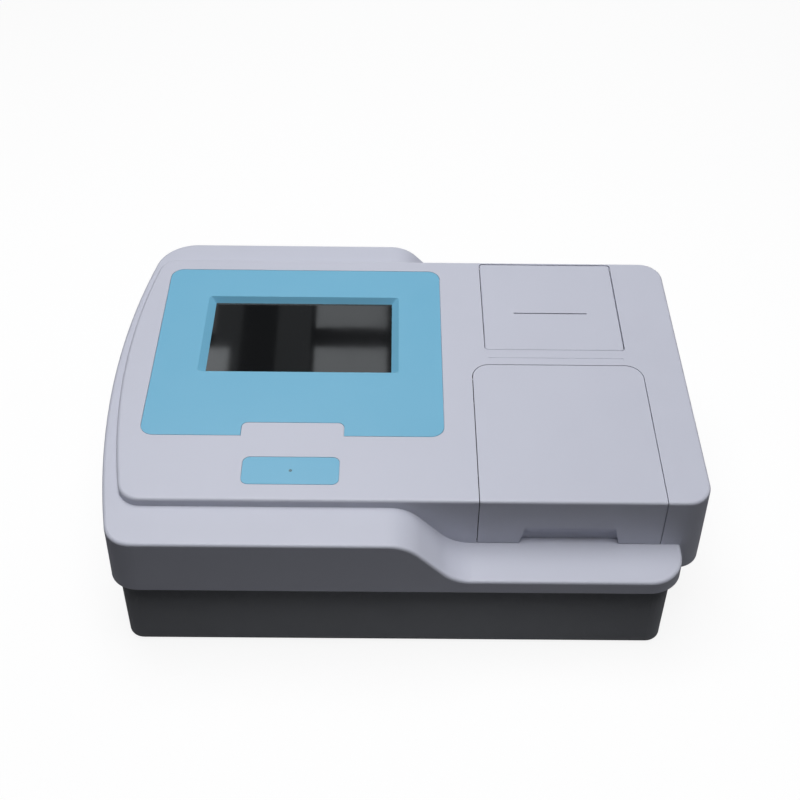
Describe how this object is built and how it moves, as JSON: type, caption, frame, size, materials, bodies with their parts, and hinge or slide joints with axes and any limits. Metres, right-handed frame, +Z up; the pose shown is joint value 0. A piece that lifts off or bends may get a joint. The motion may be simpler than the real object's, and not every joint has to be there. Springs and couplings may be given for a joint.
{
  "type": "microplate reader",
  "caption": "Bench absorbance reader with tilted touch screen, hinged plate door over a belt-driven plate carriage, and a receipt printer bay.",
  "frame": {"origin": "centre of the bounding box on the surface that the rubber feet stand on", "axes": "+X to the right as the user faces the screen, +Y to the back, +Z up"},
  "size_m": [0.4776, 0.3466, 0.1608],
  "materials": {
    "white_plastic": "fine satin moulded ABS",
    "base_plastic": "fine matt moulded ABS",
    "blue_plastic": "satin tinted polycarbonate",
    "touch_glass": "polished dark cover glass",
    "black_plastic": "black moulded plastic",
    "zinc_steel": "zinc-plated sheet",
    "bright_steel": "ground bright steel",
    "motor_steel": "black enamelled motor case",
    "aluminium": "satin anodised",
    "brass": "turned",
    "rubber": "matt black rubber",
    "green_board": "solder mask over glass fibre",
    "led": "clear epoxy with board",
    "fibre_sheath": "black sheathing",
    "lens_glass": "polished and coated",
    "filter_glass": "dichroic coated",
    "lamp_glass": "quartz bulb",
    "paper": "smooth thermal paper",
    "spindle_plastic": "moulded"
  },
  "bodies": {
    "reader_body": {"top_cover": "white_plastic", "base_tray": "base_plastic", "screen_bezel": "blue_plastic", "status_plate": "blue_plastic", "touch_panel": "touch_glass", "lcd_module": "black_plastic", "chamber_housing": "black_plastic", "optical_bridge": "black_plastic", "mains_inlet": "black_plastic", "switch_frame": "black_plastic", "fan_frame": "black_plastic", "home_sensor": "black_plastic", "light_block": "black_plastic", "paper_bay": "black_plastic", "printer_frame": "black_plastic", "chassis_plate": "zinc_steel", "rear_panel": "zinc_steel", "screen_bracket": "zinc_steel", "power_supply": "zinc_steel", "data_ports": "zinc_steel", "guide_rails": "bright_steel", "door_hinge_pins": "bright_steel", "lid_hinge_pins": "bright_steel", "idler_pin": "bright_steel", "gear_post": "bright_steel", "cover_screws": "bright_steel", "carriage_motor": "motor_steel", "filter_motor": "motor_steel", "printer_motor": "motor_steel", "lamp_housing": "aluminium", "print_head": "aluminium", "rubber_feet": "rubber", "drive_belt": "rubber", "main_board": "green_board", "detector_board": "green_board", "status_led": "led", "fibre_bundle": "fibre_sheath", "lens_row": "lens_glass", "condenser_lens": "lens_glass", "halogen_lamp": "lamp_glass", "roll_spindle": "spindle_plastic"},
    "door": {"plate_door": "white_plastic"},
    "lid": {"printer_lid": "white_plastic"},
    "carriage": {"plate_carriage": "aluminium", "carriage_bushes": "brass"},
    "pusher": {"plate_pusher": "black_plastic"},
    "drive_pulley": {"motor_pulley": "aluminium"},
    "idler": {"idler_pulley": "aluminium"},
    "filter_wheel": {"filter_wheel": "black_plastic", "filter_glasses": "filter_glass"},
    "fan": {"fan_rotor": "black_plastic"},
    "rocker": {"power_rocker": "black_plastic"},
    "platen": {"platen_roller": "rubber", "platen_gear": "black_plastic"},
    "printer_idler": {"idler_gear": "black_plastic"},
    "printer_pinion": {"motor_pinion": "brass"},
    "roll": {"paper_roll": "paper"}
  },
  "joints": [
    {"name": "door_hinge", "type": "hinge", "parent": "reader_body", "child": "door", "pos_m": [0.1314, -0.00527, 0.14012], "axis": [-1, 0, 0], "range_deg": [0, 95]},
    {"name": "lid_hinge", "type": "hinge", "parent": "reader_body", "child": "lid", "pos_m": [0.1314, 0.13351, 0.15767], "axis": [-1, 0, 0], "range_deg": [0, 100]},
    {"name": "carriage_slide", "type": "slide", "parent": "reader_body", "child": "carriage", "axis": [0, 1, 0], "range_m": [0, 0.13004]},
    {"name": "pusher_slide", "type": "slide", "parent": "carriage", "child": "pusher", "axis": [1, 0, 0], "range_m": [-0.003, 0], "stiffness_N_per_m": 150, "springref_m": 0.003},
    {"name": "drive_pulley_spin", "type": "hinge", "parent": "reader_body", "child": "drive_pulley", "pos_m": [0.1904, 0.12879, 0.0745], "axis": [0, 0, 1], "range_deg": [-1173, 0]},
    {"name": "idler_spin", "type": "hinge", "parent": "reader_body", "child": "idler", "pos_m": [0.1904, -0.11888, 0.0745], "axis": [0, 0, 1], "range_deg": [-1173, 0]},
    {"name": "filter_wheel_spin", "type": "hinge", "parent": "reader_body", "child": "filter_wheel", "pos_m": [0.018, 0.00179, 0.0355], "axis": [1, 0, 0], "continuous": true},
    {"name": "fan_spin", "type": "hinge", "parent": "reader_body", "child": "fan", "pos_m": [-0.02, 0.15425, 0.0355], "axis": [0, 1, 0], "continuous": true},
    {"name": "rocker_tilt", "type": "hinge", "parent": "reader_body", "child": "rocker", "pos_m": [-0.118, 0.15675, 0.0355], "axis": [1, 0, 0], "range_deg": [-17, 0]},
    {"name": "platen_spin", "type": "hinge", "parent": "reader_body", "child": "platen", "pos_m": [0.1314, 0.07918, 0.1285], "axis": [1, 0, 0], "continuous": true},
    {"name": "printer_idler_spin", "type": "hinge", "parent": "reader_body", "child": "printer_idler", "pos_m": [0.1664, 0.08277, 0.11188], "axis": [1, 0, 0], "continuous": true},
    {"name": "pinion_spin", "type": "hinge", "parent": "reader_body", "child": "printer_pinion", "pos_m": [0.1664, 0.09486, 0.11666], "axis": [1, 0, 0], "continuous": true},
    {"name": "roll_spin", "type": "hinge", "parent": "reader_body", "child": "roll", "pos_m": [0.1314, 0.05032, 0.1215], "axis": [1, 0, 0], "continuous": true}
  ],
  "couplings": [
    {"joint": "drive_pulley_spin", "follows": "carriage_slide", "rad_per_m": -157.08},
    {"joint": "idler_spin", "follows": "carriage_slide", "rad_per_m": -157.08},
    {"joint": "printer_idler_spin", "follows": "platen_spin", "ratio": -1.1},
    {"joint": "pinion_spin", "follows": "platen_spin", "ratio": 1.8333},
    {"joint": "roll_spin", "follows": "platen_spin", "ratio": -0.33333}
  ]
}
